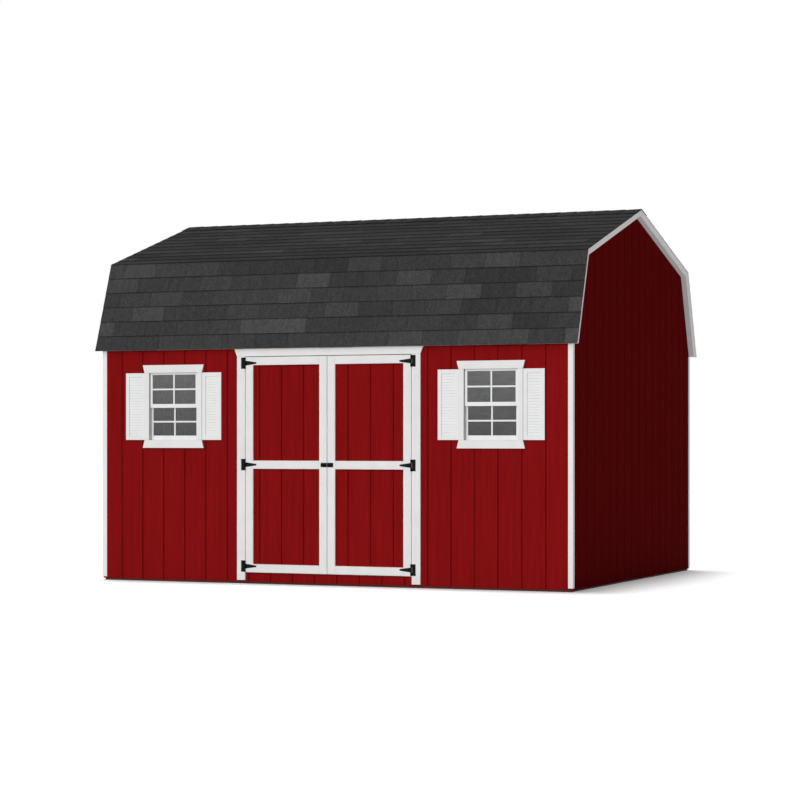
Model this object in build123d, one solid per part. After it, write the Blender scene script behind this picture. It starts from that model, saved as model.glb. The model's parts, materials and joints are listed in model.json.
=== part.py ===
# Barn-style storage shed with a gambrel roof, double doors and two shuttered windows.
# Millimetres. X runs along the long front, the front faces -Y, Z is up and the ground is Z = 0.
import math
import os

from build123d import *

os.makedirs("parts", exist_ok=True)

# Front, from the doorway to a corner
doorway_width = 1518.0
casing_width = 76.0           # boards beside the doorway
wall_beside_door = 151.5      # siding that shows between a casing and a shutter
shutter_width = 182.0
shutter_gap = 1.0
window_casing_width = 45.0
window_width = 463.0
wall_beside_corner = 193.0    # siding that shows between a shutter and the corner trim
corner_width = 41.0
corner_thickness = 6.0

# Walls
wall_depth = 3353.0           # outside of the siding, front to back
siding_thickness = 11.0
siding_foot = 16.0            # lower edge of the siding above the ground
joint_gap = 0.5               # open joint where two pieces butt

# Framing timber
stud_width = 38.0
stud_depth = 89.0
stud_pitch = 406.4            # widest spacing of studs, joists and rafters
plate_rise = 26.0             # upper face of the wall plates above the eaves

# Floor
joist_height = 89.0
deck_thickness = 16.0
deck_setback = 6.0            # edge of the deck behind the outside of the framing

# Roof outline, measured on the outside of the shingles
eave_height = 1974.0
eave_overhang = 48.5          # in front of the siding
knee_rise = 766.0             # knee above the eaves
knee_inset = 226.5            # knee behind the siding
ridge_rise = 447.0            # ridge above the knee
shingle_thickness = 8.0
shingle_lip = 10.0            # shingles past the rake boards
roof_deck_thickness = 12.0
rafter_depth = 89.0
ridge_board_height = 140.0
cap_reach = 150.0
cap_thickness = 6.0

# Rake boards and the foot of the trim
gable_overhang = 48.0         # outside of the rake boards beyond the siding
rake_thickness = 19.0
rake_depth = 48.0
trim_foot = 29.0              # lower end of corner trim and casings above the ground

# Doors and their trim boards
door_lap = 9.0                # leaves reach below the surface of the floor
door_gap = 5.0                # running gap round the leaves
meeting_gap = 5.0
threshold_gap = 6.0           # frame of a leaf above the floor
board_thickness = 18.0        # trim boards on the doors, doorway and windows
header_height = 65.0
header_spread = 25.0          # how far each end of the header leans out
door_board_width = 69.0
back_frame_thickness = 38.0
back_frame_width = 70.0
back_frame_inset = 22.0

# Hinges and latch
hinge_plate_width = 38.0
hinge_plate_height = 95.0
hinge_margin = 3.5            # end plates from the ends of a leaf
hinge_metal = 2.5
hinge_standoff = 7.0          # pin in front of the trim boards
knuckle_radius = 6.0
strap_length = 104.0
strap_root = 41.0
strap_tip = 12.0
latch_height = 36.0
latch_reach = 56.0
latch_metal = 3.0
latch_barrel_radius = 7.0

# Windows and shutters
window_drop = 194.0           # head of the window opening below the eaves
window_height = 574.0
window_trim_height = 67.0     # head and sill boards
window_trim_spread = 17.0     # how far their ends lean out
window_frame_wall = 25.0
window_frame_lip = 11.0       # frame behind the inner sash
sash_thickness = 16.0
sash_stile = 23.5
sash_top_rail = 16.0
sash_bottom_rail = 38.0
meeting_rail = 33.0
meeting_share = 0.508         # middle of the meeting rails, up the opening
glass_thickness = 4.0
glass_gap = 0.3
shutter_thickness = 14.0

# Planes that many pieces share
jamb_x = doorway_width / 2
casing_outer = jamb_x + casing_width
opening_half = window_width / 2
trim_half = opening_half + window_casing_width
shutter_out = trim_half + shutter_gap + shutter_width
window_offset = casing_outer + wall_beside_door + shutter_out
corner_x = window_offset + shutter_out + wall_beside_corner + corner_width
half_length = corner_x - corner_thickness
half_depth = wall_depth / 2
frame_x = half_length - siding_thickness
frame_y = half_depth - siding_thickness
floor_top = joist_height + deck_thickness
wall_top = eave_height + plate_rise
siding_face = -half_depth
trim_face = siding_face - board_thickness
doorway_head = eave_height - header_height
door_foot = floor_top - door_lap
leaf_edge = jamb_x - door_gap
leaf_meet = meeting_gap / 2
leaf_top = doorway_head - door_gap
mid_rail_height = (door_foot + leaf_top) / 2
hinge_x = jamb_x - door_gap / 2
hinge_y = trim_face - hinge_standoff
window_head = eave_height - window_drop
window_sill = window_head - window_height

# Slopes of the roof and the depths of its layers under the outside of the shingles
eave_y = -half_depth - eave_overhang
knee_y = -half_depth + knee_inset
ridge_height = eave_height + knee_rise + ridge_rise
lower_rise = knee_rise / (knee_y - eave_y)
upper_rise = -ridge_rise / knee_y
lower_angle = math.atan(lower_rise)
upper_angle = math.atan(upper_rise)
deck_top = shingle_thickness
deck_under = deck_top + roof_deck_thickness
rafter_under = deck_under + rafter_depth
rake_under = deck_top + rake_depth


def block(x, y, z):
    """Box between pairs of planes."""
    corner = Plane((min(x), min(y), min(z)))
    return Solid.make_box(max(x) - min(x), max(y) - min(y), max(z) - min(z), corner)


def prism(points, direction):
    """Flat outline carried straight along a direction."""
    outline = Wire.make_polygon([Vector(*point) for point in points], close=True)
    return Solid.extrude(Face(outline), Vector(*direction))


def profile(points, x):
    """Outline in Y and Z, carried along X between two planes."""
    return prism([(x[0], py, pz) for py, pz in points], (x[1] - x[0], 0, 0))


def front_board(points, y):
    """Outline in X and Z, carried along Y between two planes."""
    return prism([(px, y[0], pz) for px, pz in points], (0, y[1] - y[0], 0))


def to_back(solid):
    return mirror(solid, about=Plane.XZ).solid()


def to_right(solid):
    return mirror(solid, about=Plane.YZ).solid()


def both_sides(solids):
    """The left pieces and their mirror images on the right."""
    return list(solids) + [to_right(solid) for solid in solids]


def front_and_back(solids):
    return list(solids) + [to_back(solid) for solid in solids]


def save(name, solids):
    """Write one node."""
    shape = solids[0] if len(solids) == 1 else Compound(list(solids))
    export_step(shape, f"parts/{name}.step")


def spread(low, high, pitch):
    """Middles of evenly spaced members, no further apart than the pitch."""
    bays = math.ceil((high - low) / pitch)
    return [low + (high - low) * step / bays for step in range(bays + 1)]


def lower_z(y, depth):
    """Height of the front lower slope at a depth under the shingles."""
    return eave_height + lower_rise * (y - eave_y) - depth / math.cos(lower_angle)


def lower_y(z, depth):
    return eave_y + (z - eave_height + depth / math.cos(lower_angle)) / lower_rise


def upper_z(y, depth):
    """Height of the front upper slope at a depth under the shingles."""
    return ridge_height + upper_rise * y - depth / math.cos(upper_angle)


def knee_point(depth):
    """Where the two front slopes meet at a depth under the shingles."""
    tilt = depth / math.cos(lower_angle) - depth / math.cos(upper_angle)
    y = (ridge_height - eave_height + lower_rise * eave_y + tilt) / (lower_rise - upper_rise)
    return y, upper_z(y, depth)


def along(point, angle, distance):
    return point[0] + distance * math.cos(angle), point[1] + distance * math.sin(angle)


def lower_layer(top, under, foot):
    """Outline of one layer of the front lower slope, cut level at its foot."""
    knee_out = along(knee_point(top), lower_angle, -joint_gap / 2)
    knee_in = along(knee_point(under), lower_angle, -joint_gap / 2)
    return [(lower_y(foot, top), foot), knee_out, knee_in, (lower_y(foot, under), foot)]


def upper_layer(top, under, end_y):
    """Outline of one layer of the front upper slope, cut plumb near the ridge."""
    knee_out = along(knee_point(top), upper_angle, joint_gap / 2)
    knee_in = along(knee_point(under), upper_angle, joint_gap / 2)
    return [knee_out, (end_y, upper_z(end_y, top)), (end_y, upper_z(end_y, under)), knee_in]


def slope_pair(top, under, foot, x):
    """Both front slopes of one roof layer."""
    lower = profile(lower_layer(top, under, foot), x)
    upper = profile(upper_layer(top, under, -joint_gap / 2), x)
    return [lower, upper]


# Floor: joists between two rims, with a deck on top
rim_inner = frame_y - stud_width
truss_places = spread(-frame_x + stud_width / 2, frame_x - stud_width / 2, stud_pitch)
rim = block((-frame_x, frame_x), (-frame_y, -rim_inner), (0, joist_height))
joist_ends = (-rim_inner + joint_gap, rim_inner - joint_gap)
joists = [
    block((x - stud_width / 2, x + stud_width / 2), joist_ends, (0, joist_height))
    for x in truss_places
]
save("floor_frame", front_and_back([rim]) + joists)

deck_x = frame_x - deck_setback
deck_y = frame_y - deck_setback
save("floor_deck", [block((-deck_x, deck_x), (-deck_y, deck_y), (joist_height, floor_top))])


# Stud walls
sole_top = floor_top + stud_width
plate_under = wall_top - stud_width
wall_y = (-frame_y, -frame_y + stud_depth)
stud_z = (sole_top + joint_gap, plate_under - joint_gap)


def wall_stud(middle):
    return block((middle - stud_width / 2, middle + stud_width / 2), wall_y, stud_z)


sole = block((-frame_x, frame_x), wall_y, (floor_top, sole_top))
top_plate = block((-frame_x, frame_x), wall_y, (plate_under, wall_top))
back_frame = [sole, top_plate] + [wall_stud(x) for x in truss_places]
save("back_wall_frame", [to_back(solid) for solid in back_frame])

rough_half = opening_half + window_frame_wall
rough_x = (-window_offset - rough_half + joint_gap, -window_offset + rough_half - joint_gap)
rough_sill = window_sill - window_frame_wall
rough_head = window_head + window_frame_wall
cripple_x = (-window_offset - stud_width / 2, -window_offset + stud_width / 2)
left_frame = [
    block((-frame_x, -jamb_x), wall_y, (floor_top, sole_top)),
    wall_stud(-frame_x + stud_width / 2),
    wall_stud(-window_offset - rough_half - stud_width / 2),
    wall_stud(-window_offset + rough_half + stud_width / 2),
    wall_stud(-jamb_x - stud_width / 2),
    block(rough_x, wall_y, (rough_sill - stud_width, rough_sill)),
    block(rough_x, wall_y, (rough_head, rough_head + stud_width)),
    block(cripple_x, wall_y, (stud_z[0], rough_sill - stud_width - joint_gap)),
    block(cripple_x, wall_y, (rough_head + stud_width + joint_gap, stud_z[1])),
]
beam_x = (-jamb_x + joint_gap, jamb_x - joint_gap)
door_beam = block(beam_x, wall_y, (doorway_head, stud_z[1]))
save("front_wall_frame", both_sides(left_frame) + [door_beam, top_plate])

ridge_half = stud_width / 2
ridge_board_top = upper_z(-ridge_half, deck_under)
ridge_board_z = (ridge_board_top - ridge_board_height, ridge_board_top)


def roof_frame_under(y):
    """Underside of the rafters, or of the ridge board near the middle."""
    if abs(y) <= ridge_half:
        return ridge_board_z[0]
    return min(lower_z(-abs(y), rafter_under), upper_z(-abs(y), rafter_under))


gable_x = (-frame_x, -frame_x + stud_depth)
gable_end = frame_y - stud_depth - joint_gap
gable_places = spread(-gable_end + stud_width / 2, gable_end - stud_width / 2, stud_pitch)
gable_frame = [
    block(gable_x, (-gable_end, gable_end), (floor_top, sole_top)),
    block(gable_x, (-gable_end, gable_end), (plate_under, wall_top)),
]
for y in gable_places:
    gable_frame.append(block(gable_x, (y - stud_width / 2, y + stud_width / 2), stud_z))
foot = wall_top + joint_gap
for y in gable_places[1:-1]:
    edges = (y - stud_width / 2, y + stud_width / 2)
    tops = [roof_frame_under(edge) - joint_gap for edge in edges]
    outline = [(edges[0], foot), (edges[0], tops[0]), (edges[1], tops[1]), (edges[1], foot)]
    gable_frame.append(profile(outline, (-frame_x, -frame_x + stud_width)))
save("left_gable_frame", gable_frame)
save("right_gable_frame", [to_right(solid) for solid in gable_frame])


# Roof: gambrel rafters on the plates, ridge board, deck, shingles and ridge cap
rafters = []
for x in truss_places:
    truss_x = (x - stud_width / 2, x + stud_width / 2)
    foot_line = lower_layer(deck_under, rafter_under, wall_top)
    plumb_cut = [(-frame_y, wall_top), (-frame_y, lower_z(-frame_y, deck_under))]
    rafters.append(profile(plumb_cut + foot_line[1:], truss_x))
    rafters.append(profile(upper_layer(deck_under, rafter_under, -ridge_half), truss_x))
save("roof_rafters", front_and_back(rafters))

save("ridge_board", [block((-frame_x, frame_x), (-ridge_half, ridge_half), ridge_board_z)])

rake_outer = half_length + gable_overhang
rake_inner = rake_outer - rake_thickness
shingle_x = rake_outer + shingle_lip
deck_solids = slope_pair(deck_top, deck_under, eave_height, (-rake_inner, rake_inner))
save("front_roof_deck", deck_solids)
save("back_roof_deck", [to_back(solid) for solid in deck_solids])
shingle_solids = slope_pair(0, deck_top, eave_height, (-shingle_x, shingle_x))
save("front_roof_shingles", shingle_solids)
save("back_roof_shingles", [to_back(solid) for solid in shingle_solids])

cap_end = -joint_gap / 2
cap_line = [
    (-cap_reach, upper_z(-cap_reach, 0)),
    (-cap_reach, upper_z(-cap_reach, -cap_thickness)),
    (cap_end, upper_z(cap_end, -cap_thickness)),
    (cap_end, upper_z(cap_end, 0)),
]
save("ridge_cap", front_and_back([profile(cap_line, (-shingle_x, shingle_x))]))

rakes = slope_pair(deck_top, rake_under, eave_height, (-rake_outer, -rake_inner))
save("left_rake_boards", front_and_back(rakes))
save("right_rake_boards", [to_right(solid) for solid in front_and_back(rakes)])

gable_soffits = slope_pair(deck_under, rake_under, eave_height, (-rake_inner, -half_length))
eave_line = [
    (siding_face, eave_height),
    (siding_face, lower_z(siding_face, deck_under)),
    (lower_y(eave_height, deck_under), eave_height),
]
eave_x = half_length - joint_gap
eave_soffit = profile(eave_line, (-eave_x, eave_x))
save("roof_soffits", both_sides(front_and_back(gable_soffits)) + front_and_back([eave_soffit]))


# Siding
siding_y = (siding_face, siding_face + siding_thickness)
siding_top = lower_z(siding_face, deck_under) - joint_gap
hole_x = (-window_offset - opening_half, -window_offset + opening_half)
left_siding = [
    block((-half_length, hole_x[0] - joint_gap), siding_y, (siding_foot, siding_top)),
    block((hole_x[1] + joint_gap, -jamb_x), siding_y, (siding_foot, siding_top)),
    block(hole_x, siding_y, (siding_foot, window_sill)),
    block(hole_x, siding_y, (window_head, siding_top)),
]
save("front_left_siding", left_siding)
save("front_right_siding", [to_right(solid) for solid in left_siding])
over_x = (-jamb_x + joint_gap, jamb_x - joint_gap)
save("over_door_siding", [block(over_x, siding_y, (doorway_head, siding_top))])
save("under_door_siding", [block(over_x, siding_y, (siding_foot, door_foot - door_gap))])
back_siding = block((-half_length, half_length), siding_y, (siding_foot, siding_top))
save("back_siding", [to_back(back_siding)])

gable_knee = knee_point(deck_under)
gable_front = [
    (-frame_y, siding_foot),
    (-frame_y, lower_z(-frame_y, deck_under)),
    gable_knee,
    (0, upper_z(0, deck_under)),
]
gable_back = [(-y, z) for y, z in reversed(gable_front[:-1])]
gable_siding = profile(gable_front + gable_back, (-half_length, -frame_x))
save("left_gable_siding", [gable_siding])
save("right_gable_siding", [to_right(gable_siding)])


# Corner trim: two thin legs at each corner
corner_y = half_depth + corner_thickness
corner_z = (trim_foot, eave_height)
front_leg = block((-corner_x, -corner_x + corner_width), (-corner_y, -half_depth), corner_z)
side_leg_y = (-half_depth + joint_gap, -corner_y + corner_width)
side_leg = block((-corner_x, -half_length), side_leg_y, corner_z)
save("corner_trims", both_sides(front_and_back([front_leg, side_leg])))


# Doorway casings and header
board_y = (trim_face, siding_face)
casing = block((-casing_outer, -jamb_x), board_y, (trim_foot, doorway_head - joint_gap))
save("door_casings", both_sides([casing]))
header_line = [
    (-casing_outer, doorway_head),
    (casing_outer, doorway_head),
    (casing_outer + header_spread, eave_height),
    (-casing_outer - header_spread, eave_height),
]
save("door_header", [front_board(header_line, board_y)])


# Windows: trim, frame with two sashes, glass and shutters
frame_front = siding_face + siding_thickness
upper_sash_y = (siding_face + joint_gap, siding_face + joint_gap + sash_thickness)
lower_sash_y = (upper_sash_y[1] + joint_gap, upper_sash_y[1] + joint_gap + sash_thickness)
frame_span = (frame_front, lower_sash_y[1] + window_frame_lip)
meeting_height = window_sill + meeting_share * window_height
meeting_z = (meeting_height - meeting_rail / 2, meeting_height + meeting_rail / 2)
pane_half = opening_half - sash_stile


def at_window(x):
    """Span across a window, measured from its middle."""
    return x[0] - window_offset, x[1] - window_offset


def flared_board(narrow_z, wide_z):
    """Head or sill board whose ends lean out away from the window."""
    wide = trim_half + window_trim_spread
    points = [(-trim_half, narrow_z), (trim_half, narrow_z), (wide, wide_z), (-wide, wide_z)]
    return front_board([(x - window_offset, z) for x, z in points], board_y)


def sash(y, bottom, top):
    """Two stiles and two rails round one pane."""
    stiles = [
        block(at_window((-opening_half + joint_gap, -pane_half)), y, (bottom[0], top[1])),
        block(at_window((pane_half, opening_half - joint_gap)), y, (bottom[0], top[1])),
    ]
    rail_x = at_window((-pane_half + joint_gap, pane_half - joint_gap))
    return stiles + [block(rail_x, y, bottom), block(rail_x, y, top)]


def pane(y, bottom, top):
    middle = (y[0] + y[1]) / 2
    glass_y = (middle - glass_thickness / 2, middle + glass_thickness / 2)
    glass_x = at_window((-pane_half + glass_gap, pane_half - glass_gap))
    return block(glass_x, glass_y, (bottom[1] + glass_gap, top[0] - glass_gap))


upright_z = (window_sill + joint_gap, window_head - joint_gap)
window_trim = [
    block(at_window((-trim_half, -opening_half)), board_y, upright_z),
    block(at_window((opening_half, trim_half)), board_y, upright_z),
    flared_board(window_head, window_head + window_trim_height),
    flared_board(window_sill, window_sill - window_trim_height),
]
top_rail_z = (window_head - joint_gap - sash_top_rail, window_head - joint_gap)
bottom_rail_z = (window_sill + joint_gap, window_sill + joint_gap + sash_bottom_rail)
window_frame = [
    block(at_window((-rough_half, -opening_half)), frame_span, upright_z),
    block(at_window((opening_half, rough_half)), frame_span, upright_z),
    block(at_window((-rough_half, rough_half)), frame_span, (window_head, rough_head)),
    block(at_window((-rough_half, rough_half)), frame_span, (rough_sill, window_sill)),
]
window_frame += sash(upper_sash_y, meeting_z, top_rail_z)
window_frame += sash(lower_sash_y, bottom_rail_z, meeting_z)
window_glass = [
    pane(upper_sash_y, meeting_z, top_rail_z),
    pane(lower_sash_y, bottom_rail_z, meeting_z),
]
shutter_y = (siding_face - shutter_thickness, siding_face)
shutter_in = trim_half + shutter_gap
shutter_z = (window_sill + shutter_gap, window_head - shutter_gap)
window_shutters = [
    block(at_window((-shutter_out, -shutter_in)), shutter_y, shutter_z),
    block(at_window((shutter_in, shutter_out)), shutter_y, shutter_z),
]
window_nodes = {
    "trim": window_trim,
    "frame": window_frame,
    "glass": window_glass,
    "shutters": window_shutters,
}
for piece, solids in window_nodes.items():
    save(f"left_window_{piece}", solids)
    save(f"right_window_{piece}", [to_right(solid) for solid in solids])


# Door leaves: siding panel, trim boards in front, frame behind, straps and latch
leaf_x = (-leaf_edge, -leaf_meet)
leaf_z = (door_foot, leaf_top)
door_panel = block(leaf_x, siding_y, leaf_z)


def rails_and_stiles(x, y, z, width, mid):
    """Two stiles and three rails that fill an upright rectangle."""
    pieces = [block((x[0], x[0] + width), y, z), block((x[1] - width, x[1]), y, z)]
    rail_x = (x[0] + width + joint_gap, x[1] - width - joint_gap)
    for low in (z[0], mid - width / 2, z[1] - width):
        pieces.append(block(rail_x, y, (low, low + width)))
    return pieces


door_trim = rails_and_stiles(leaf_x, board_y, leaf_z, door_board_width, mid_rail_height)
inner_x = (leaf_x[0] + back_frame_inset, leaf_x[1] - back_frame_inset)
inner_y = (siding_y[1], siding_y[1] + back_frame_thickness)
inner_z = (floor_top + threshold_gap, leaf_top - back_frame_inset)
door_frame = rails_and_stiles(inner_x, inner_y, inner_z, back_frame_width, mid_rail_height)

hinge_inset = hinge_margin + hinge_plate_height / 2
hinge_heights = [door_foot + hinge_inset, mid_rail_height, leaf_top - hinge_inset]
strap_y = (trim_face - hinge_metal, trim_face)


def knuckle(low, high):
    """Round barrel on the hinge pin."""
    base = Plane((-hinge_x, hinge_y, low))
    return Solid.make_cylinder(knuckle_radius, high - low, base)


def hinge_strap(height):
    """Tapered strap on the leaf with the middle knuckle."""
    points = [
        (-hinge_x, height - strap_root / 2),
        (-hinge_x, height + strap_root / 2),
        (-hinge_x + strap_length, height + strap_tip / 2),
        (-hinge_x + strap_length, height - strap_tip / 2),
    ]
    barrel = knuckle(height - strap_root / 2, height + strap_root / 2)
    return (front_board(points, strap_y) + barrel).solid()


def hinge_plate(height):
    """Plate on the casing with the two outer knuckles."""
    low = height - hinge_plate_height / 2
    high = height + hinge_plate_height / 2
    reach = strap_root / 2 + joint_gap
    plate_x = (-hinge_x - hinge_plate_width, -hinge_x - knuckle_radius - joint_gap)
    solid = block(plate_x, strap_y, (low, high))
    for span in ((low, height - reach), (height + reach, high)):
        solid += block((plate_x[1], -hinge_x), strap_y, span)
        solid += knuckle(*span)
    return solid.solid()


straps = [hinge_strap(height) for height in hinge_heights]
plates = [hinge_plate(height) for height in hinge_heights]
save("door_hinge_plates", both_sides(plates))


def latch_half(span):
    """Flat plate with a round barrel lying along it."""
    low = mid_rail_height - latch_height / 2
    plate = block(span, (trim_face - latch_metal, trim_face), (low, low + latch_height))
    axis = Plane((span[0], trim_face - latch_metal, mid_rail_height), z_dir=(1, 0, 0))
    barrel = Solid.make_cylinder(latch_barrel_radius, span[1] - span[0], axis)
    cutter = block(span, (trim_face, trim_face + latch_barrel_radius), (low, low + latch_height))
    return (plate + barrel - cutter).solid()


latch = latch_half((-latch_reach, -leaf_meet))
door_nodes = {
    "panel": [door_panel],
    "trim": door_trim,
    "back_frame": door_frame,
    "hinge_straps": straps,
    "latch": [latch],
}
for piece, solids in door_nodes.items():
    save(f"left_door_{piece}", solids)
    save(f"right_door_{piece}", [to_right(solid) for solid in solids])
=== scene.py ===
import json
import math

import bmesh
import bpy
import numpy as np
from mathutils import Matrix, Vector


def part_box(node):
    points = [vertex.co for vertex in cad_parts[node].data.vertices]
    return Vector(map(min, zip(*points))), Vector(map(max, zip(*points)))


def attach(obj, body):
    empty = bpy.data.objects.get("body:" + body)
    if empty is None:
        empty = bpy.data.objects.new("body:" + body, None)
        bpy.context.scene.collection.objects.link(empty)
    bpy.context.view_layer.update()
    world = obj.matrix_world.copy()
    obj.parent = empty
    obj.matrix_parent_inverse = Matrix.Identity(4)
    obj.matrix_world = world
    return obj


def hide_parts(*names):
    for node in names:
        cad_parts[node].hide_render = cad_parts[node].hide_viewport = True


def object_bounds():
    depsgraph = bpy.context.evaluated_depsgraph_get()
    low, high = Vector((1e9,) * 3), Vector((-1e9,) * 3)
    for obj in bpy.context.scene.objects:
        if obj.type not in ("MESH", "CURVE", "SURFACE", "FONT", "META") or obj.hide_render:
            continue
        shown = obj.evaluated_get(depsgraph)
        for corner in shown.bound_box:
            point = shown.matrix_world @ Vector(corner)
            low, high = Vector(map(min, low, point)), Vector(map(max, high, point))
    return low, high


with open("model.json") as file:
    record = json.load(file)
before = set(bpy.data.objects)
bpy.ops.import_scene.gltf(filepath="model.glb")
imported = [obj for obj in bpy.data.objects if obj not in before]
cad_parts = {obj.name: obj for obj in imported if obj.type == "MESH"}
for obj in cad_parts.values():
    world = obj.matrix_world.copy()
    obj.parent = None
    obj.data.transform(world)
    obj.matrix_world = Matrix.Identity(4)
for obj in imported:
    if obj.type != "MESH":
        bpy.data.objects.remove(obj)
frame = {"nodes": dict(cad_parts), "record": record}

cad_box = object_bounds()
scene = bpy.context.scene
nodes = frame["nodes"]
body_of = {
    node: body
    for body, members in frame["record"]["behaviour"]["bodies"].items()
    for node in members
}

# Grooved panel siding, in metres like all sizes here
groove_pitch = 0.2032
groove_mouth = 0.013
groove_floor = 0.009
groove_depth = 0.0052
groove_painted_shade = 0.76  # painted shade: share of the paint's tone that is left at the floor of a groove
wall_groove = 0.083  # a groove of the long walls, along X
leaf_groove = 0.1847  # a groove of the door leaves, along X
gable_groove = 0.1016  # a groove of the gables, along Y

# Rounding of edges
board_ease = 0.0018
timber_ease = 0.003
sash_ease = 0.0012
pane_bar_ease = 0.0015
shutter_ease = 0.0016
drip_edge_ease = 0.0008
hinge_ease = 0.0006
latch_ease = 0.0005
latch_band_ease = 0.0004

# Windows and shutters
window_frame_wall = 0.025  # edge of a window frame that the siding covers
pane_bar_width = 0.014
pane_bar_depth = 0.006
shutter_stile = 0.034
shutter_rail = 0.036
shutter_back = 0.003
louvre_count = 22
louvre_tuck = 0.0008  # how far a louvre goes into each stile

# Shingles
tab_width = 0.305
tab_slot = 0.002
tab_lap = 0.003  # how far a tab goes under the next course
tab_sway = 0.0012  # how far a tab may lie above or below its course
tab_sheet = 0.0012  # thickness of a tab at its upper end
narrowest_tab = 0.02  # a narrower rest of a tab at a rake is left out
tabs_in_strip = 3.0
butt_thickness = 0.0026  # lower edge of a tab
butt_chamfer = (0.0014, 0.0012)
lower_courses = 6
upper_courses = 11
knee_overhang = 0.005  # lowest tabs of the upper slope, past the knee
sheet_inset = 0.004  # base sheet behind the ends of its slope
sheet_layer = (-0.0078, -0.0041)  # lower and upper face, from the outside of the shingles

# Ridge caps and drip edges
cap_exposure = 0.1415
cap_covered_end = (0.0032, 0.0004)  # upper and lower face of a cap above the slopes
cap_open_end = (0.006, 0.0026)
cap_chamfer = (0.001, 0.0008)
cap_fold = (0.05, 0.16)  # where the fold bends, as shares of half the cap's width
cap_fold_drop = 0.0025
drip_edge_width = 0.024
drip_edge_gap = 0.001
drip_edge_layer = (-0.0079, -0.0042)

# Hinges and latch
strap_metal = 0.0025
plate_screws = ((-0.036, 0.012), (-0.014, 0.021), (0.014, 0.021), (0.036, 0.012))  # rise and inset
strap_screws = ((0.026, 0.009), (0.026, -0.009), (0.056, 0.0), (0.094, 0.0))  # reach and rise
latch_metal = 0.003
latch_barrel = 0.007
latch_screw_inset = (0.008, 0.0055)
band_radius = 0.0082
band_width = 0.008
band_flange = 0.006
band_metal = 0.0012
band_places = {"left": (-0.046, -0.013), "right": (0.013, 0.040)}
knob_place = -0.029

# Nails
nail_margin = 0.03
nail_spacing = 0.42
one_row_width = 0.052  # boards narrower than this have one row of nails
wall_nail_lines = 12
wall_nail_rows = 7
wall_nail_share = 0.986  # share of the wall between its outermost lines of nails
wall_nail_top = 0.09  # below the upper edge of a wall panel
gable_nail_lines = 9
gable_nail_rows = 9
gable_nail_reach = 1.56  # outermost line from the middle
gable_nail_top = 0.07
siding_nail_foot = 0.05  # above the lower edge of a panel
door_clearance = 0.01
window_clearance = (0.02, 0.09)  # beside the shutters, and above and below them


class Graph:
    """Adds nodes to a tree and joins their sockets."""

    def __init__(self, tree):
        self.tree = tree

    def feed(self, socket, value):
        if isinstance(value, bpy.types.NodeSocket):
            self.tree.links.new(value, socket)
        else:
            socket.default_value = value

    def add(self, kind, feeds=None, **settings):
        node = self.tree.nodes.new(kind)
        for key, value in settings.items():
            setattr(node, key, value)
        for key, value in (feeds or {}).items():
            self.feed(node.inputs[key], value)
        return node

    def out(self, kind, feeds=None, **settings):
        return self.add(kind, feeds, **settings).outputs[0]

    def math(self, operation, *values):
        return self.out("ShaderNodeMath", dict(enumerate(values)), operation=operation)

    def combine(self, x, y, z):
        return self.out("ShaderNodeCombineXYZ", {0: x, 1: y, 2: z})

    def split(self, vector):
        return self.add("ShaderNodeSeparateXYZ", {0: vector}).outputs

    def place(self):
        return self.add("ShaderNodeTexCoord").outputs["Object"]

    def mark(self, name):
        return self.add("ShaderNodeAttribute", attribute_name=name).outputs

    def stretch(self, vector, scale, turn=(0, 0, 0)):
        return self.out("ShaderNodeMapping", {"Vector": vector, "Scale": scale, "Rotation": turn})

    def noise(self, vector, scale, detail=2.0, rough=0.5, warp=0.0):
        feeds = {"Vector": vector, "Scale": scale, "Detail": detail, "Roughness": rough, "Distortion": warp}
        return self.out("ShaderNodeTexNoise", feeds)

    def cells(self, vector, scale):
        return self.add("ShaderNodeTexVoronoi", {"Vector": vector, "Scale": scale}).outputs

    def ramp(self, value, stops):
        node = self.add("ShaderNodeValToRGB", {0: value})
        stones = node.color_ramp.elements
        while len(stones) < len(stops):
            stones.new(0.5)
        for stone, (spot, shade) in zip(stones, stops):
            stone.position = spot
            stone.color = (*shade, 1.0) if isinstance(shade, tuple) else (shade, shade, shade, 1.0)
        return node.outputs[0]

    def span(self, value, low, high, start=0.0, end=1.0):
        return self.out("ShaderNodeMapRange", {0: value, 1: start, 2: end, 3: low, 4: high})

    def tint(self, colour, *shades):
        for shade in shades:
            feeds = {0: 1.0, 6: colour, 7: shade}
            colour = self.add("ShaderNodeMix", feeds, data_type="RGBA", blend_type="MULTIPLY").outputs[2]
        return colour

    def bump(self, height, strength, distance):
        return self.out("ShaderNodeBump", {"Height": height, "Strength": strength, "Distance": distance})

    def draw(self, low, high, seed, **more):
        return self.add("FunctionNodeRandomValue", {2: low, 3: high, "Seed": seed, **more}).outputs[1]

    def store(self, geometry, name, value, domain):
        feeds = {"Geometry": geometry, "Name": name, "Value": value}
        return self.out("GeometryNodeStoreNamedAttribute", feeds, domain=domain)

    def shape(self, thing):
        return self.add("GeometryNodeObjectInfo", {"Object": thing}).outputs["Geometry"]

    def line(self, count, x, z):
        return self.out("GeometryNodeMeshLine", {"Count": count, "Offset": self.combine(x, 0.0, z)})

    def copies(self, points, shape, **more):
        return self.out("GeometryNodeInstanceOnPoints", {"Points": points, "Instance": shape, **more})


def finish(name, look, extra=()):
    """New material with the colour, roughness, relief and gloss that a look gives."""
    material = bpy.data.materials.new(name)
    material.use_nodes = True
    graph = Graph(material.node_tree)
    shader = material.node_tree.nodes["Principled BSDF"]
    inputs = ("Base Color", "Roughness", "Normal", "Specular IOR Level")
    for label, value in [*zip(inputs, look(graph)), *extra]:
        graph.feed(shader.inputs[label], value)
    return material


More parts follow.
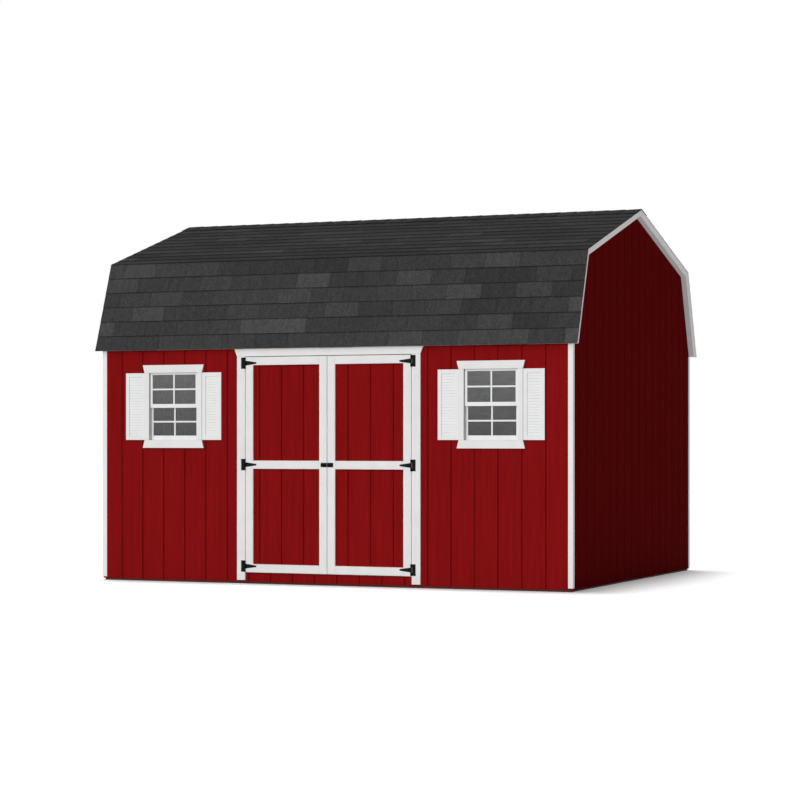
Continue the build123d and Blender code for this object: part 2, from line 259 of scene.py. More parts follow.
# Finishes
def red_paint(graph):
    """Satin barn-red paint over upright grain pressed into the panel, with painted shade on the floor of
    each groove.
    """
    place = graph.place()
    grain = graph.noise(graph.stretch(place, (48, 48, 1.9)), 1.0, 5.0, 0.62, 0.6)
    fine = graph.noise(graph.stretch(place, (230, 230, 7)), 1.0, 3.0, 0.6)
    broad = graph.noise(place, 1.7, 3.0, 0.55)
    paint = graph.ramp(grain, [(0.25, (0.185, 0.0048, 0.0056)), (0.75, (0.252, 0.0070, 0.0078))])
    shade = graph.ramp(broad, [(0.3, 0.93), (0.7, 1.0)])
    # Painted shade: the floors of the grooves are darkened by their depth mark
    dust_and_groove_shade = graph.span(graph.mark("groove")["Fac"], 1.0, groove_painted_shade)
    relief = graph.math("MULTIPLY_ADD", fine, 0.5, grain)
    rough = graph.span(grain, 0.52, 0.68)
    return graph.tint(paint, shade, dust_and_groove_shade), rough, graph.bump(relief, 0.35, 0.0012), 0.001


def panel_back(graph):
    """Unpainted inner face of the siding: pressed strands under a pale brown skin."""
    place = graph.place()
    strands = graph.cells(graph.stretch(place, (18, 18, 60), (0.5, 0.3, 0.2)), 1.0)["Color"]
    tone = graph.math("MULTIPLY_ADD", graph.noise(place, 55.0, 4.0, 0.6), 0.5, graph.split(strands)[0])
    colour = graph.ramp(tone, [(0.2, (0.26, 0.155, 0.075)), (1.0, (0.47, 0.31, 0.165))])
    return colour, graph.span(tone, 0.7, 0.85), graph.bump(tone, 0.2, 0.0008), 0.2


def white_paint(graph):
    """Satin white paint on planed boards, with the grain just showing along each board."""
    grain_mark = graph.mark("grain")["Vector"]
    grain = graph.noise(graph.stretch(grain_mark, (2.5, 60, 60)), 1.0, 4.0, 0.6, 0.4)
    smudge = graph.noise(grain_mark, 6.0, 4.0, 0.6)
    tone = graph.math("MULTIPLY_ADD", grain, 0.45, smudge)
    colour = graph.ramp(tone, [(0.35, (0.70, 0.695, 0.69)), (0.95, (0.78, 0.775, 0.77))])
    rough = graph.span(smudge, 0.42, 0.58)
    return colour, rough, graph.bump(grain, 0.18, 0.0007), 0.1


def white_vinyl(graph):
    """Moulded white plastic with a faint pressed texture."""
    place = graph.place()
    pebble = graph.noise(place, 420.0, 3.0, 0.6)
    cloud = graph.noise(place, 9.0, 3.0, 0.55)
    colour = graph.ramp(cloud, [(0.3, (0.72, 0.725, 0.73)), (0.7, (0.77, 0.77, 0.775))])
    return colour, graph.span(cloud, 0.34, 0.46), graph.bump(pebble, 0.12, 0.0004), 0.12


def clear_glass(graph):
    """Flat window glass with a little dust, a film that grows lighter towards the top of the pane, and
    waviness.
    """
    place = graph.place()
    dust_and_groove_shade = graph.noise(place, 14.0, 5.0, 0.65)
    wave = graph.noise(graph.stretch(place, (3, 3, 5)), 1.0, 1.0)
    height = graph.split(place)[2]
    # The film grows lighter towards the top of the pane
    film = graph.math("MULTIPLY_ADD", dust_and_groove_shade, 0.25, graph.span(height, 0.1, 0.75, 1.2, 1.8))
    colour = graph.ramp(film, [(0.1, (0.26, 0.27, 0.27)), (0.95, (0.70, 0.72, 0.71))])
    return colour, graph.span(dust_and_groove_shade, 0.0, 0.06), graph.bump(wave, 0.05, 0.002), 0.5


def shingle_granules(graph):
    """Charcoal granules; each tab has its own tone, painted shade where the next course laps it, and a
    darker butt face.
    """
    place = graph.place()
    up = graph.math("MULTIPLY_ADD", graph.mark("up")["Fac"], 0.5, 0.5)
    grit = graph.noise(place, 620.0, 2.0, 0.7)
    flecks = graph.split(graph.cells(place, 330.0)["Color"])[0]
    blotch = graph.noise(place, 21.0, 4.0, 0.65)
    streak = graph.noise(graph.stretch(place, (38, 9, 9)), 1.0, 3.0, 0.6)
    tones = [(0.1, 0.033), (0.3, 0.040), (0.5, 0.046), (0.65, 0.053), (0.8, 0.062), (0.95, 0.078)]
    tab = graph.ramp(graph.mark("tone")["Fac"], tones)
    # Painted shade: the top of each course's exposure, under the next course's butt, is darkened, and the
    # butt face is darker too
    painted_lap_shade = graph.ramp(up, [(0.3, 0.25), (0.49, 0.4), (0.5, 1.0), (0.955, 1.0), (0.985, 0.42)])
    mottle = graph.math("MULTIPLY_ADD", blotch, 0.45, graph.math("MULTIPLY", streak, 0.55))
    shade = graph.ramp(mottle, [(0.3, 0.78), (0.7, 1.18)])
    grain = graph.ramp(flecks, [(0.0, 0.6), (0.6, 0.95), (1.0, 1.7)])
    colour = graph.tint(tab, shade, painted_lap_shade, grain)
    height = graph.math("MULTIPLY_ADD", flecks, 0.6, grit)
    return colour, graph.span(grit, 0.88, 1.0), graph.bump(height, 0.6, 0.0012), 0.055


def timber(pale, middle, late):
    """Look of planed softwood with growth rings, long grain and a few knots."""
    def look(graph):
        grain_mark = graph.mark("grain")["Vector"]
        lean = graph.stretch(grain_mark, (0.12, 1.0, 1.0))
        feeds = {"Vector": lean, "Scale": 42.0, "Distortion": 3.2, "Detail": 2.5, "Detail Scale": 1.2}
        wave = graph.add("ShaderNodeTexWave", feeds, wave_type="RINGS", rings_direction="X")
        rings = wave.outputs["Fac"]
        fibre = graph.noise(graph.stretch(grain_mark, (6, 260, 260)), 1.0, 3.0, 0.6)
        knots = graph.cells(graph.stretch(grain_mark, (2.6, 11, 11)), 1.0)["Distance"]
        wood = graph.ramp(rings, [(0.0, pale), (0.6, middle), (1.0, late)])
        fibres = graph.ramp(fibre, [(0.3, 0.82), (0.7, 1.06)])
        knot = graph.ramp(knots, [(0.05, (0.30, 0.17, 0.08)), (0.13, (1.0, 1.0, 1.0))])
        colour = graph.tint(wood, fibres, knot)
        relief = graph.math("MULTIPLY_ADD", rings, 0.4, fibre)
        rough = graph.span(fibre, 0.62, 0.8)
        return colour, rough, graph.bump(relief, 0.22, 0.0008), 0.25
    return look


def strand_board(graph):
    """Sheet board of pressed wood strands that lie in several directions."""
    x, y, z = graph.split(graph.place())
    sheet = graph.combine(x, graph.math("ADD", y, z), graph.math("SUBTRACT", z, y))
    lays = []
    for turn, scale in ((0.3, (9, 46, 20)), (1.5, (11, 52, 20)), (2.5, (10, 40, 20))):
        turned_sheet = graph.stretch(sheet, scale, (0, 0, turn))
        lays.append(graph.split(graph.cells(turned_sheet, 1.0)["Color"]))
    pick = graph.math("GREATER_THAN", lays[0][1], lays[1][1])
    upper = graph.math("MAXIMUM", lays[0][0], graph.math("MULTIPLY", lays[1][0], pick))
    tone = graph.math("MULTIPLY_ADD", lays[2][2], 0.35, graph.math("MULTIPLY", upper, 0.65))
    fibre = graph.noise(graph.stretch(sheet, (30, 260, 90), (0, 0, 0.9)), 1.0, 3.0, 0.6)
    tones = [(0.1, (0.30, 0.18, 0.085)), (0.5, (0.50, 0.335, 0.175)), (0.95, (0.66, 0.48, 0.28))]
    colour = graph.tint(graph.ramp(tone, tones), graph.ramp(fibre, [(0.3, 0.85), (0.7, 1.05)]))
    return colour, graph.span(tone, 0.6, 0.8), graph.bump(tone, 0.3, 0.001), 0.25


def black_iron(graph):
    """Satin black coating with a fine pebble, a little rubbed."""
    place = graph.place()
    pebble = graph.noise(place, 760.0, 2.0, 0.6)
    rub = graph.noise(place, 60.0, 5.0, 0.7)
    colour = graph.ramp(rub, [(0.35, (0.0026, 0.0026, 0.0028)), (0.75, (0.0085, 0.0082, 0.008))])
    return colour, graph.span(rub, 0.38, 0.56), graph.bump(pebble, 0.2, 0.0003), 0.04


pale_timber = timber((0.62, 0.45, 0.27), (0.55, 0.375, 0.205), (0.42, 0.26, 0.125))
dark_timber = timber((0.085, 0.046, 0.033), (0.064, 0.033, 0.023), (0.04, 0.02, 0.014))
barn_red = finish("barn_red_paint", red_paint)
siding_back = finish("bare_siding_back", panel_back)
trim_white = finish("white_board_paint", white_paint)
vinyl_white = finish("white_moulded_vinyl", white_vinyl)
pane_glass = finish("window_pane_glass", clear_glass, [("Transmission Weight", 0.91), ("IOR", 1.5)])
charcoal_granules = finish("charcoal_shingle_granules", shingle_granules)
softwood = finish("bare_softwood", pale_timber)
treated_wood = finish("treated_softwood", dark_timber)
sheet_board = finish("strand_sheet_board", strand_board)
hinge_black = finish("black_hinge_coating", black_iron)


# Making of meshes and pieces
def as_mesh(name, work):
    """Plain mesh from a worked one, with its faces turned outwards."""
    bmesh.ops.recalc_face_normals(work, faces=work.faces)
    mesh = bpy.data.meshes.new(name)
    work.to_mesh(mesh)
    work.free()
    return mesh


def placed(name, data):
    """New object in the scene."""
    made = bpy.data.objects.new(name, data)
    scene.collection.objects.link(made)
    return made


def piece(name, mesh, body, finishes, stands_for=()):
    """Object at the origin that rides on a body."""
    if not mesh.materials:
        for material in finishes:
            mesh.materials.append(material)
    made = placed(name, mesh)
    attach(made, body)
    if stands_for:
        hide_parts(*stands_for)


def bar(work, low, high):
    """Adds a box between two corners."""
    middle = (Vector(low) + Vector(high)) / 2
    size = Vector(high) - Vector(low)
    place = Matrix.Translation(middle) @ Matrix.Diagonal((*size, 1.0))
    bmesh.ops.create_cube(work, size=1.0, matrix=place)


def ease(work, width, segments=2, crease=math.radians(28)):
    """Rounds the edges of boards or metal a little."""
    sharp = [edge for edge in work.edges if edge.is_manifold and edge.calc_face_angle(0.0) > crease]
    bmesh.ops.bevel(
        work, geom=sharp, offset=width, offset_type="OFFSET", segments=segments,
        profile=0.5, affect="EDGES", clamp_overlap=True,
    )


def lofted(rings):
    """Closed shape through rings of points, each joined to the next."""
    work = bmesh.new()
    rings = [[work.verts.new(point) for point in ring] for ring in rings]
    count = len(rings[0])
    for near, far in zip(rings, rings[1:]):
        for step in range(count):
            after = (step + 1) % count
            work.faces.new((near[step], near[after], far[after], far[step]))
    work.faces.new(list(reversed(rings[0])))
    work.faces.new(rings[-1])
    return work


def extruded(outline, x_low, x_high):
    """Outline of Y and Z carried along X."""
    return lofted([[(x, y, z) for y, z in outline] for x in (x_low, x_high)])


def turned(outline, steps):
    """Round shape from pairs of radius and height."""
    angles = [math.tau * step / steps for step in range(steps)]
    return lofted([
        [(radius * math.cos(angle), radius * math.sin(angle), height) for angle in angles]
        for radius, height in outline
    ])


def joined(name, meshes):
    """One mesh from several, with their marks."""
    work = bmesh.new()
    for mesh in meshes:
        work.from_mesh(mesh)
    return as_mesh(name, work)


def welded(node):
    """Copy of a CAD node's mesh with whole flat faces."""
    work = bmesh.new()
    work.from_mesh(nodes[node].data)
    bmesh.ops.remove_doubles(work, verts=work.verts, dist=2e-5)
    bmesh.ops.dissolve_limit(work, angle_limit=math.radians(0.5), verts=work.verts, edges=work.edges)
    return work


def board_groups(mesh):
    """Vertex numbers of each separate board in a mesh."""
    root = list(range(len(mesh.vertices)))

    def top(number):
        while root[number] != number:
            root[number] = root[root[number]]
            number = root[number]
        return number

    for edge in mesh.edges:
        first, second = edge.vertices
        root[top(first)] = top(second)
    groups = {}
    for number in range(len(root)):
        groups.setdefault(top(number), []).append(number)
    return list(groups.values())


def boards_of(node):
    """Corner points of each separate solid in a CAD node."""
    mesh = as_mesh("boards", welded(node))
    return [np.array([mesh.vertices[number].co for number in group]) for group in board_groups(mesh)]


def part_boxes(node):
    """Lowest and highest corner of each separate solid in a CAD node."""
    return [(Vector(board.min(axis=0)), Vector(board.max(axis=0))) for board in boards_of(node)]


def board_axes(points):
    """Directions of a board's length, width and thickness, as columns."""
    board = points - points.mean(axis=0)
    spread, axes = np.linalg.eigh(board.T @ board)
    return axes[:, np.argsort(-spread)]


def mark_grain(mesh, seed):
    """Gives each board its own stretch of grain, running along the board."""
    draw = np.random.default_rng(seed)
    points = np.array([vertex.co for vertex in mesh.vertices])
    grain = np.zeros_like(points)
    for group in board_groups(mesh):
        board = points[group]
        axes = board_axes(board)
        axes *= np.where(np.abs(axes).max(axis=0) == axes.max(axis=0), 1.0, -1.0)
        start = draw.uniform(-1.0, 1.0, 3) * np.array([40.0, 0.05, 0.05])
        grain[group] = (board - board.mean(axis=0)) @ axes + start
    mark = mesh.attributes.new("grain", "FLOAT_VECTOR", "POINT")
    mark.data.foreach_set("vector", grain.ravel())


def eased_node(node, material, width, segments=2, added=(), name=None):
    """Boards of a CAD node with eased edges, grain and added meshes, in place of the node."""
    work = welded(node)
    ease(work, width, segments)
    for mesh in added:
        work.from_mesh(mesh)
    whole = as_mesh(node, work)
    mark_grain(whole, len(node))
    piece(name or f"finished_{node}", whole, body_of[node], [material], [node])


# Grooved siding
def groove_at(across, first):
    """How deep the face lies at a place across the panel."""
    off = abs((across - first + groove_pitch / 2) % groove_pitch - groove_pitch / 2)
    share = (groove_mouth / 2 - off) / (groove_mouth / 2 - groove_floor / 2)
    return groove_depth * min(1.0, max(0.0, share))


def panel_lines(low, high, first):
    """Places across a panel where its face bends, and its two edges."""
    lines = {low, high}
    start = math.floor((low - first) / groove_pitch)
    end = math.ceil((high - first) / groove_pitch)
    for step in range(start, end + 1):
        for off in (-groove_mouth, -groove_floor, groove_floor, groove_mouth):
            spot = first + step * groove_pitch + off / 2
            if low < spot < high:
                lines.add(spot)
    return lines


def grooved_panel(node, axis, outward, first, hole=None, roof=None, dust_and_groove_shade=1.0):
    """Siding panel with upright grooves, an opening if it has one, and a raked top on a gable; its groove
    floors are marked for painted shade.
    """
    low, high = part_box(node)
    depth_axis = 1 - axis
    face, back = (low, high) if outward < 0 else (high, low)
    lines = panel_lines(low[axis], high[axis], first)
    levels = [low.z, high.z]
    if hole:
        lines.update(hole[0])
        levels[1:1] = hole[1]
    if roof:
        lines.update(spot for spot, height in roof if low[axis] < spot < high[axis])
    lines = sorted(lines)
    work = bmesh.new()
    grid = {}
    shares = []

    def vert(column, level, front):
        key = (column, level, front)
        if key not in grid:
            spot = Vector((0, 0, levels[level]))
            spot[axis] = lines[column]
            sunk = groove_at(lines[column], first) if front else 0.0
            spot[depth_axis] = face[depth_axis] - outward * sunk if front else back[depth_axis]
            if roof and level == len(levels) - 1:
                spot.z = float(np.interp(lines[column], *zip(*roof)))
            # How much painted shade the groove floor at this corner gets
            shares.append(dust_and_groove_shade * sunk / groove_depth)
            grid[key] = work.verts.new(spot)
        return grid[key]

    def within(column, level):
        return 0 <= column < len(lines) - 1 and 0 <= level < len(levels) - 1

    def filled(column, level):
        if not within(column, level):
            return False
        middle = (lines[column] + lines[column + 1]) / 2
        return not (hole and level == 1 and hole[0][0] < middle < hole[0][1])

    for column in range(len(lines) - 1):
        for level in range(len(levels) - 1):
            if not filled(column, level):
                continue
            right, above = column + 1, level + 1
            corners = ((column, level), (right, level), (right, above), (column, above))
            work.faces.new([vert(*corner, True) for corner in corners])
            inner = work.faces.new([vert(*corner, False) for corner in reversed(corners)])
            inner.material_index = 1
            neighbours = ((column, level - 1), (right, level), (column, above), (column - 1, level))
            for place, beside in enumerate(neighbours):
                if filled(*beside):
                    continue
                start, end = corners[place], corners[(place + 1) % 4]
                rim = [vert(*start, True), vert(*start, False), vert(*end, False), vert(*end, True)]
                work.faces.new(rim).material_index = 2 if within(*beside) else 0
    mesh = as_mesh(node, work)
    mesh.attributes.new("groove", "FLOAT", "POINT").data.foreach_set("value", shares)
    finishes = [barn_red, siding_back, vinyl_white] if hole else [barn_red, siding_back]
    piece(f"grooved_{node}", mesh, body_of[node], finishes, [node])


def window_hole(side):
    """Opening in the siding: the window frame without the edge that the siding covers."""
    low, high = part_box(f"{side}_window_frame")
    return [(low[axis] + window_frame_wall, high[axis] - window_frame_wall) for axis in (0, 2)]


def gable_roof_line(node):
    """Upper edge of a gable panel as pairs of Y and height."""
    tops = {}
    for vertex in nodes[node].data.vertices:
        spot = round(vertex.co.y, 4)
        tops[spot] = max(tops.get(spot, 0.0), vertex.co.z)
    return sorted(tops.items())


for side, outward in (("left", -1), ("right", 1)):
    grooved_panel(f"front_{side}_siding", 0, -1, wall_groove, hole=window_hole(side))
    grooved_panel(f"{side}_door_panel", 0, -1, leaf_groove)
    gable = f"{side}_gable_siding"
    # The gables get no painted shade in their grooves
    grooved_panel(gable, 1, outward, gable_groove, roof=gable_roof_line(gable), dust_and_groove_shade=0.0)
for node in ("over_door_siding", "under_door_siding"):
    grooved_panel(node, 0, -1, wall_groove)
grooved_panel("back_siding", 0, 1, wall_groove)


# White boards and framing timber
for node in (
    "corner_trims", "door_casings", "door_header", "left_window_trim", "right_window_trim",
    "left_door_trim", "right_door_trim", "left_rake_boards", "right_rake_boards", "roof_soffits",
):
    eased_node(node, trim_white, board_ease)
eased_node("floor_frame", treated_wood, timber_ease, 1)
for node in (
    "front_wall_frame", "back_wall_frame", "left_gable_frame", "right_gable_frame",
    "roof_rafters", "ridge_board", "left_door_back_frame", "right_door_back_frame",
):
    eased_node(node, softwood, timber_ease, 1)

# Sheet boards and glass keep their CAD solids
kept_solids = {
    "floor_deck": sheet_board, "front_roof_deck": sheet_board, "back_roof_deck": sheet_board,
    "left_window_glass": pane_glass, "right_window_glass": pane_glass,
}
for node, material in kept_solids.items():
    nodes[node].data.materials.clear()
    nodes[node].data.materials.append(material)


# Geometry trees
patterns = []


def new_tree(name, inputs):
    """Geometry tree with named inputs, and the sockets that give them."""
    tree = bpy.data.node_groups.new(name, "GeometryNodeTree")
    tree.interface.new_socket("Geometry", in_out="OUTPUT", socket_type="NodeSocketGeometry")
    for label, kind in {"Geometry": "Geometry", **inputs, "Finish": "Material"}.items():
        tree.interface.new_socket(label, in_out="INPUT", socket_type=f"NodeSocket{kind}")
    graph = Graph(tree)
    return graph, graph.add("NodeGroupInput").outputs


def end_tree(graph, geometry, material):
    """Turns the instances into real faces with their finish."""
    real = graph.out("GeometryNodeRealizeInstances", {"Geometry": geometry})
    painted = graph.out("GeometryNodeSetMaterial", {"Geometry": real, "Material": material})
    graph.add("NodeGroupOutput", {"Geometry": painted})
    return graph.tree


def grown(tree, start, values):
    """Plain mesh that a geometry tree makes from a starting mesh."""
    holder = placed(tree.name, start)
    modifier = holder.modifiers.new(tree.name, "NODES")
    modifier.node_group = tree
    for item in tree.interface.items_tree:
        if item.in_out == "INPUT" and item.name in values:
            modifier[item.identifier] = values[item.name]
    now = bpy.context.evaluated_depsgraph_get()
    now.update()
    whole = holder.evaluated_get(now)
    mesh = bpy.data.meshes.new_from_object(whole, preserve_all_data_layers=True, depsgraph=now)
    holder.modifiers.remove(modifier)
    bpy.data.objects.remove(holder)
    return mesh


def pattern(name, work):
    """Object that a tree repeats; it is deleted once the meshes are made."""
    patterns.append(placed(name, as_mesh(name, work)))
    return patterns[-1]


def seeds(spots, facing=None):
    """Mesh of loose points, each with the way that its copy faces."""
    mesh = bpy.data.meshes.new("seeds")
    mesh.from_pydata([tuple(spot) for spot in spots], [], [])
    if facing:
        mark = mesh.attributes.new("facing", "FLOAT_VECTOR", "POINT")
        mark.data.foreach_set("vector", [value for way in facing for value in way])
    return mesh


def shingle_tree():
    """Courses of tabs on a flat slope: X across, Y up the slope, Z out of the roof."""
    inputs = {
        "Tab": "Object", "Courses": "Int", "Tabs Across": "Int", "Tab Width": "Float", "Slot": "Float",
        "Course Height": "Float", "Half Length": "Float", "Tone Shift": "Float", "Seed": "Int",
    }
    graph, given = new_tree("shingle_courses", inputs)
    across, width, half = given["Tabs Across"], given["Tab Width"], given["Half Length"]
    seed = given["Seed"]
    points = graph.out("GeometryNodePoints", {"Count": graph.math("MULTIPLY", given["Courses"], across)})
    index = graph.out("GeometryNodeInputIndex")
    course = graph.math("FLOOR", graph.math("DIVIDE", index, across))
    column = graph.math("FLOORED_MODULO", index, across)
    # Every other course starts half a tab earlier, and the end tabs are cut at the rakes
    shift = graph.math("MULTIPLY", graph.math("FLOORED_MODULO", course, 2.0), 0.5)
    begin = graph.math("MULTIPLY", graph.math("SUBTRACT", column, shift), width)
    begin = graph.math("SUBTRACT", begin, half)
    left = graph.math("MAXIMUM", begin, graph.math("MULTIPLY", half, -1.0))
    far = graph.math("SUBTRACT", graph.math("ADD", begin, width), given["Slot"])
    right = graph.math("MINIMUM", far, half)
    cut_width = graph.math("SUBTRACT", right, left)
    middle = graph.math("MULTIPLY", graph.math("ADD", left, right), 0.5)
    up = graph.math("MULTIPLY_ADD", course, given["Course Height"], graph.draw(-tab_sway, tab_sway, seed))
    # The tabs of a strip share half of their tone
    strip = graph.math("DIVIDE", graph.math("MULTIPLY_ADD", course, 2.0, column), tabs_in_strip)
    strip = graph.math("MULTIPLY_ADD", course, 40.0, graph.math("FLOOR", strip))
    strip_tone = graph.draw(0.0, 0.5, seed, ID=strip)
    tab_tone = graph.draw(0.0, 0.5, graph.math("ADD", seed, 7.0))
    # Painted shade: the tone shift darkens the tabs of the upper slope more than those of the lower slope
    tone = graph.math("ADD", graph.math("ADD", strip_tone, tab_tone), given["Tone Shift"])
    toned = graph.store(points, "tone", tone, "POINT")
    feeds = {"Geometry": toned, "Position": graph.combine(middle, up, 0.0)}
    laid = graph.out("GeometryNodeSetPosition", feeds)
    wide = graph.math("GREATER_THAN", cut_width, narrowest_tab)
    scale = graph.combine(cut_width, 1.0, 1.0)
    tabs = graph.copies(laid, graph.shape(given["Tab"]), Selection=wide, Scale=scale)
    return end_tree(graph, tabs, given["Finish"])


def cap_tree():
    """Folded caps in a row along the ridge, the open end of each over the start of the next."""
    inputs = {"Cap": "Object", "Count": "Int", "Exposure": "Float", "Seed": "Int"}
    graph, given = new_tree("ridge_caps", inputs)
    line = graph.line(given["Count"], given["Exposure"], 0.0)
    feeds = {"Geometry": given["Geometry"], "Value": graph.out("GeometryNodeInputPosition"), "Index": 0}
    start = graph.out("GeometryNodeSampleIndex", feeds, data_type="FLOAT_VECTOR")
    line = graph.out("GeometryNodeSetPosition", {"Geometry": line, "Offset": start})
    caps = graph.copies(line, graph.shape(given["Cap"]))
    toned = graph.store(caps, "tone", graph.draw(0.0, 0.45, given["Seed"]), "INSTANCE")
    return end_tree(graph, toned, given["Finish"])


def louvre_tree():
    """A ladder of slats above each starting point."""
    graph, given = new_tree("shutter_louvres", {"Slat": "Object", "Count": "Int", "Pitch": "Float"})
    ladder = graph.line(given["Count"], 0.0, given["Pitch"])
    slats = graph.copies(ladder, graph.shape(given["Slat"]))
    return end_tree(graph, graph.copies(given["Geometry"], slats), given["Finish"])


def fixing_tree():
    """A screw or nail at each point, turned to face out of its board."""
    graph, given = new_tree("fixing_heads", {"Head": "Object", "Seed": "Int"})
    way = graph.out("GeometryNodeInputNamedAttribute", {"Name": "facing"}, data_type="FLOAT_VECTOR")
    aim = graph.out("FunctionNodeAlignRotationToVector", {"Vector": way}, axis="Z")
    turn = graph.draw(0.0, math.tau, given["Seed"])
    spin = graph.out("FunctionNodeAxisAngleToRotation", {"Axis": (0, 0, 1), "Angle": turn})
    feeds = {"Rotation": aim, "Rotate By": spin}
    pose = graph.out("FunctionNodeRotateRotation", feeds, rotation_space="LOCAL")
    heads = graph.copies(given["Geometry"], graph.shape(given["Head"]), Rotation=pose)
    return end_tree(graph, heads, given["Finish"])


shingle_courses = shingle_tree()
ridge_caps = cap_tree()
shutter_louvres = louvre_tree()
fixing_heads = fixing_tree()


# Shingle roof: the outline of the slopes comes from the CAD shingles
def roof_corners():
    """Eave, knee and ridge of the front slope as Y and Z, on the outside of the shingles."""
    spots = {(round(v.co.y, 5), round(v.co.z, 5)) for v in nodes["front_roof_shingles"].data.vertices}
    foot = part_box("front_roof_shingles")[0].z
    eave = min(spot for spot in spots if spot[1] < foot + 0.001)
    ridge = max(spots, key=lambda spot: spot[1])
    run, rise = ridge[0] - eave[0], ridge[1] - eave[1]
    knee = max(spots, key=lambda spot: (spot[1] - eave[1]) * run - (spot[0] - eave[0]) * rise)
    return eave, knee, ridge


eave, knee, ridge = roof_corners()
half_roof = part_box("front_roof_shingles")[1].x


def slope_frame(start, end, back):
    """Matrix that lays X across, Y up the slope and Z out of the roof."""
    pitch = math.atan2(end[1] - start[1], end[0] - start[0])
    lay = Matrix.Translation((0, *start)) @ Matrix.Rotation(pitch, 4, "X")
    return Matrix.Rotation(math.pi, 4, "Z") @ lay if back else lay


def mark_lap(mesh, shares):
    """Marks how far up its course each corner of a tab lies; the cut lower edge is below nought."""
    mark = mesh.attributes.new("up", "FLOAT", "POINT")
    mark.data.foreach_set("value", shares * (len(mesh.vertices) // len(shares)))


def shingled_slope(start, end, back, courses, seed, top_mark, painted_slope_shade, overhang=0.0):
    """Tabs of one slope on their base sheet, and the drip edges at its rakes."""
    lay = slope_frame(start, end, back)
    length = math.dist(start, end)
    course = length / courses
    reach = course + tab_lap
    fall = butt_thickness * reach / course
    outline = [
        (-overhang, -butt_thickness), (-overhang, -butt_chamfer[1]), (butt_chamfer[0] - overhang, 0.0),
        (reach, -fall), (reach, -fall - tab_sheet),
    ]
    tab = pattern("shingle_tab", extruded(outline, -0.5, 0.5))
    # The marks place the painted lap shade; the larger top_mark is, the further up the course it reaches
    mark_lap(tab.data, [-1.0, 0.0, 0.0, top_mark, top_mark])
    values = {
        "Tab": tab, "Courses": courses, "Tabs Across": math.ceil(2 * half_roof / tab_width) + 1,
        "Tab Width": tab_width, "Slot": tab_slot, "Course Height": course, "Half Length": half_roof,
        "Tone Shift": painted_slope_shade, "Seed": seed, "Finish": charcoal_granules,
    }
    tabs = grown(shingle_courses, seeds([(0, 0, 0)]), values)
    edge = half_roof - drip_edge_width
    sheet = bmesh.new()
    bar(sheet, (-edge, sheet_inset, sheet_layer[0]), (edge, length - sheet_inset, sheet_layer[1]))
    under = as_mesh("under_sheet", sheet)
    mark_lap(under, [0.2])
    covering = joined("slope", [tabs, under])
    strips = bmesh.new()
    for low, high in ((-half_roof, -edge), (edge, half_roof)):
        near, far = low + drip_edge_gap, high - drip_edge_gap
        bar(strips, (near, 0.0, drip_edge_layer[0]), (far, length, drip_edge_layer[1]))
    ease(strips, drip_edge_ease, 1)
    edges = as_mesh("drip_edge", strips)
    covering.transform(lay)
    edges.transform(lay)
    return covering, edges


drip_edges = []
for number, side in enumerate(("front", "back")):
    back = side == "back"
    # top_mark widens the painted lap shade: a thin line on the lower slope, nearly a third of each course
    # on the upper slope
    slopes = [
        # The shift of tone on each slope is painted shade, stronger on the upper slope
        shingled_slope(eave, knee, back, lower_courses, 11 + number, top_mark=1.02, painted_slope_shade=-0.04),
        shingled_slope(
            knee, ridge, back, upper_courses, 31 + number,
            top_mark=1.34, painted_slope_shade=-0.15, overhang=knee_overhang,
        ),
    ]
    name = f"{side}_shingle_tabs"
    covering = joined(name, [slope[0] for slope in slopes])
    piece(name, covering, "shed", [charcoal_granules], [f"{side}_roof_shingles"])
    drip_edges += [slope[1] for slope in slopes]
edging = joined("rake_drip_edges", drip_edges)
mark_grain(edging, 3)
piece("rake_drip_edges", edging, "shed", [trim_white])


def ridge_cap_pattern(length):
    """Cap folded over the ridge; its open end stands higher than its covered end."""
    half_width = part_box("ridge_cap")[1].y
    rise = (ridge[1] - knee[1]) / (ridge[0] - knee[0])
    tilt = math.cos(math.atan(rise))
    crease, bend = cap_fold
    shares = (-1.0, -bend, -crease, 0.0, crease, bend, 1.0)

    def corner(x, share, lift):
        drop = cap_fold_drop * max(0.0, 1.0 - abs(share) / bend)
        y = share * half_width
        return x, y, ridge[1] - rise * abs(y) + lift / tilt - drop

    def ring(x, top, under):
        return [corner(x, share, top) for share in shares] + [corner(x, -share, under) for share in shares]

    top, under = cap_open_end
    return lofted([
        ring(0.0, *cap_covered_end), ring(length - cap_chamfer[0], top, under),
        ring(length, top - cap_chamfer[1], under),
    ])


cap_count = math.floor(2 * half_roof / cap_exposure)
cap_step = 2 * half_roof / cap_count
cap_values = {
    "Cap": pattern("ridge_cap_fold", ridge_cap_pattern(cap_step)), "Count": cap_count,
    "Exposure": cap_step, "Seed": 5, "Finish": charcoal_granules,
}
caps = grown(ridge_caps, seeds([(-half_roof, 0, 0)]), cap_values)
piece("ridge_cap_shingles", caps, "shed", [charcoal_granules], ["ridge_cap"])


# Windows: glazing bars added to the sashes, and louvred shutters
def glazing_bars(side):
    """One upright and one level bar for each sash, on both faces of its pane."""
    half_bar = pane_bar_width / 2
    panes = sorted(part_boxes(f"{side}_window_glass"), key=lambda pane: -pane[0].z)
    work = bmesh.new()
    for low, high in panes:
        middle = (low + high) / 2
        for near, far in ((low.y - pane_bar_depth, low.y), (high.y, high.y + pane_bar_depth)):
            bar(work, (middle.x - half_bar, near, low.z), (middle.x + half_bar, far, high.z))
            for left, right in ((low.x, middle.x - half_bar), (middle.x + half_bar, high.x)):
                bar(work, (left, near, middle.z - half_bar), (right, far, middle.z + half_bar))
    ease(work, pane_bar_ease)
    return as_mesh("bars", work)


